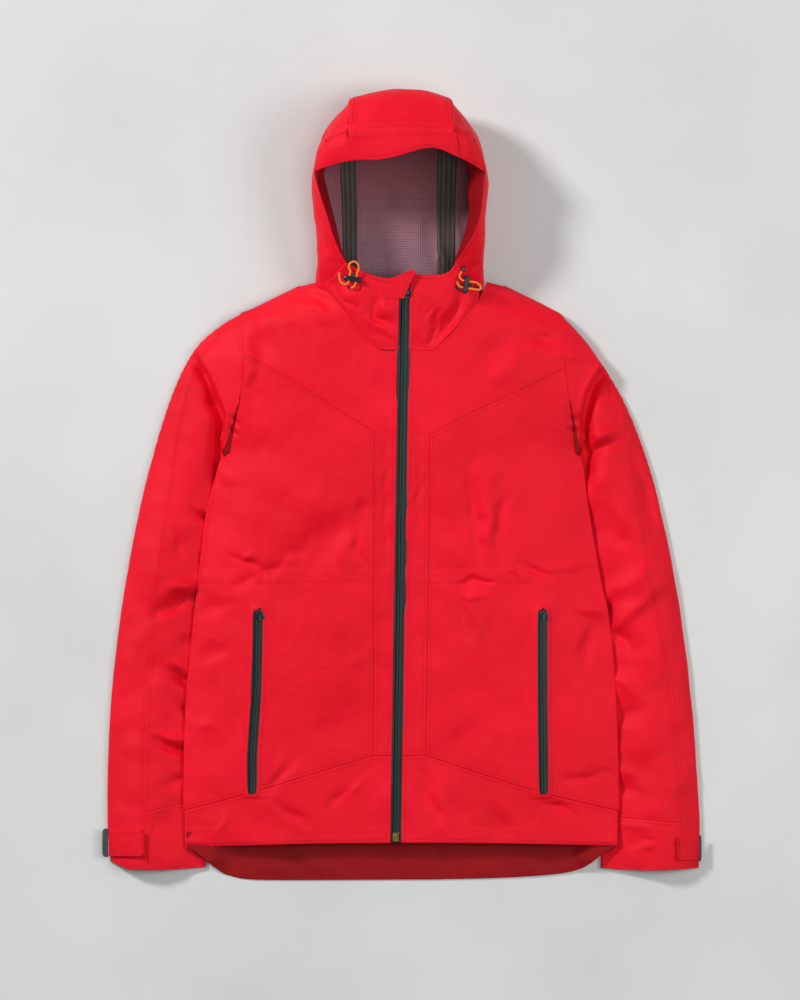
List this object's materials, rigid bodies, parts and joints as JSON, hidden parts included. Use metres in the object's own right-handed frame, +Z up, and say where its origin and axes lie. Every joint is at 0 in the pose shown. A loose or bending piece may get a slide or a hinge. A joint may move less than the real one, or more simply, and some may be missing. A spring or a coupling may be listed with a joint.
{
  "type": "foul weather jacket",
  "caption": "Hooded waterproof sailing shell jacket laid flat, with full zip, hand pockets, hood adjusters, cuff tabs and swinging sleeves.",
  "frame": {"origin": "on the resting surface, under the middle of the jacket's box, cords left out", "axes": "+X towards the wearer's left, +Y from hem to hood, +Z up out of the chest"},
  "size_m": [0.762, 1.004, 0.124],
  "materials": {
    "shell_cloth": "matt three layer laminate, fine ripstop face",
    "lining_cloth": "dotted knit backer",
    "zip_tape": "satin film over a reversed coil",
    "black_metal": "blackened, satin",
    "zip_box": "aged, satin",
    "moulded_black": "satin moulding",
    "tab_rubber": "matt moulded grip",
    "hook_and_loop": "hook and loop",
    "elastic_cord": "braided cover",
    "pocket_mesh": "open knit"
  },
  "bodies": {
    "jacket": {"back_body": "shell_cloth", "back_yoke": "shell_cloth", "collar_front_left": "shell_cloth", "collar_front_right": "shell_cloth", "front_hem_left": "shell_cloth", "front_hem_right": "shell_cloth", "front_side_left": "shell_cloth", "front_side_right": "shell_cloth", "front_yoke_left": "shell_cloth", "front_yoke_right": "shell_cloth", "hang_loop": "shell_cloth", "hood_center": "shell_cloth", "hood_cord_left": "elastic_cord", "hood_cord_right": "elastic_cord", "hood_eyelet_left_1": "moulded_black", "hood_eyelet_left_2": "moulded_black", "hood_eyelet_left_3": "moulded_black", "hood_eyelet_right_1": "moulded_black", "hood_eyelet_right_2": "moulded_black", "hood_lining": "lining_cloth", "hood_side_left": "shell_cloth", "hood_side_right": "shell_cloth", "main_zip_box": "zip_box", "main_zip_tape_left": "zip_tape", "main_zip_tape_right": "zip_tape", "pocket_bag_left": "pocket_mesh", "pocket_bag_right": "pocket_mesh", "pocket_zip_tape_left": "zip_tape", "pocket_zip_tape_right": "zip_tape", "sleeve_cap_left": "shell_cloth", "sleeve_cap_right": "shell_cloth", "storm_flap": "shell_cloth"},
    "hood_peak_body": {"hood_peak": "shell_cloth"},
    "chin_guard_body": {"chin_guard": "shell_cloth"},
    "zip_slider": {"main_zip_slider": "black_metal"},
    "zip_puller": {"main_zip_puller": "black_metal"},
    "sleeve_left": {"sleeve_outer_left": "shell_cloth", "sleeve_inner_left": "shell_cloth", "cuff_left": "shell_cloth", "cuff_loop_pad_left": "hook_and_loop"},
    "cuff_tab_body_left": {"cuff_tab_left": "shell_cloth", "cuff_tab_tip_left": "tab_rubber", "cuff_hook_pad_left": "hook_and_loop"},
    "pocket_slider_body_left": {"pocket_slider_left": "black_metal"},
    "pocket_puller_body_left": {"pocket_puller_left": "black_metal"},
    "cord_lock_left": {"hood_lock_barrel_left": "moulded_black", "hood_lock_spring_left": "black_metal"},
    "lock_button_left": {"hood_lock_button_left": "moulded_black"},
    "sleeve_right": {"sleeve_outer_right": "shell_cloth", "sleeve_inner_right": "shell_cloth", "cuff_right": "shell_cloth", "cuff_loop_pad_right": "hook_and_loop"},
    "cuff_tab_body_right": {"cuff_tab_right": "shell_cloth", "cuff_tab_tip_right": "tab_rubber", "cuff_hook_pad_right": "hook_and_loop"},
    "pocket_slider_body_right": {"pocket_slider_right": "black_metal"},
    "pocket_puller_body_right": {"pocket_puller_right": "black_metal"},
    "cord_lock_right": {"hood_lock_barrel_right": "moulded_black", "hood_lock_spring_right": "black_metal"},
    "lock_button_right": {"hood_lock_button_right": "moulded_black"}
  },
  "joints": [
    {"name": "main_zip_slide", "type": "slide", "parent": "jacket", "child": "zip_slider", "axis": [-0.0159, -0.9987, -0.0492], "range_m": [0, 0.674]},
    {"name": "main_puller_flip", "type": "hinge", "parent": "zip_slider", "child": "zip_puller", "pos_m": [0.00308, 0.24084, 0.06164], "axis": [0.9999, -0.0159, 0], "range_deg": [0, 170]},
    {"name": "chin_guard_fold", "type": "hinge", "parent": "jacket", "child": "chin_guard_body", "pos_m": [-0.025, 0.256, 0.066], "axis": [0, -0.9988, -0.0492], "range_deg": [0, 150]},
    {"name": "hood_peak_tilt", "type": "hinge", "parent": "jacket", "child": "hood_peak_body", "pos_m": [0, 0.4515, 0.121], "axis": [-1, 0, 0], "range_deg": [0, 20]},
    {"name": "sleeve_swing_left", "type": "hinge", "parent": "jacket", "child": "sleeve_left", "pos_m": [0.224, 0.112, 0.01], "axis": [0, 0, 1], "range_deg": [0, 40]},
    {"name": "cuff_tab_open_left", "type": "hinge", "parent": "sleeve_left", "child": "cuff_tab_body_left", "pos_m": [0.3486, -0.454, 0.0243], "axis": [0, -1, 0], "range_deg": [0, 150]},
    {"name": "pocket_zip_slide_left", "type": "slide", "parent": "jacket", "child": "pocket_slider_body_left", "axis": [0.0341, -0.9989, -0.0321], "range_m": [0, 0.21]},
    {"name": "pocket_puller_flip_left", "type": "hinge", "parent": "pocket_slider_body_left", "child": "pocket_puller_body_left", "pos_m": [0.18039, -0.16827, 0.03634], "axis": [0.9994, 0.0342, 0], "range_deg": [0, 170]},
    {"name": "cord_lock_slide_left", "type": "slide", "parent": "jacket", "child": "cord_lock_left", "axis": [0.9877, -0.1564, 0], "range_m": [0, 0.004]},
    {"name": "lock_button_press_left", "type": "slide", "parent": "cord_lock_left", "child": "lock_button_left", "axis": [-0.9877, 0.1564, 0], "range_m": [0, 0.0012], "stiffness_N_per_m": 400},
    {"name": "sleeve_swing_right", "type": "hinge", "parent": "jacket", "child": "sleeve_right", "pos_m": [-0.224, 0.112, 0.01], "axis": [0, 0, -1], "range_deg": [0, 40]},
    {"name": "cuff_tab_open_right", "type": "hinge", "parent": "sleeve_right", "child": "cuff_tab_body_right", "pos_m": [-0.3286, -0.454, 0.0272], "axis": [0, 1, 0], "range_deg": [0, 150]},
    {"name": "pocket_zip_slide_right", "type": "slide", "parent": "jacket", "child": "pocket_slider_body_right", "axis": [-0.0341, -0.9989, -0.0321], "range_m": [0, 0.21]},
    {"name": "pocket_puller_flip_right", "type": "hinge", "parent": "pocket_slider_body_right", "child": "pocket_puller_body_right", "pos_m": [-0.18039, -0.16827, 0.03634], "axis": [0.9994, -0.0342, 0], "range_deg": [0, 170]},
    {"name": "cord_lock_slide_right", "type": "slide", "parent": "jacket", "child": "cord_lock_right", "axis": [0.165, 0.9863, 0], "range_m": [0, 0.004]},
    {"name": "lock_button_press_right", "type": "slide", "parent": "cord_lock_right", "child": "lock_button_right", "axis": [-0.165, -0.9863, 0], "range_m": [0, 0.0012], "stiffness_N_per_m": 400}
  ]
}
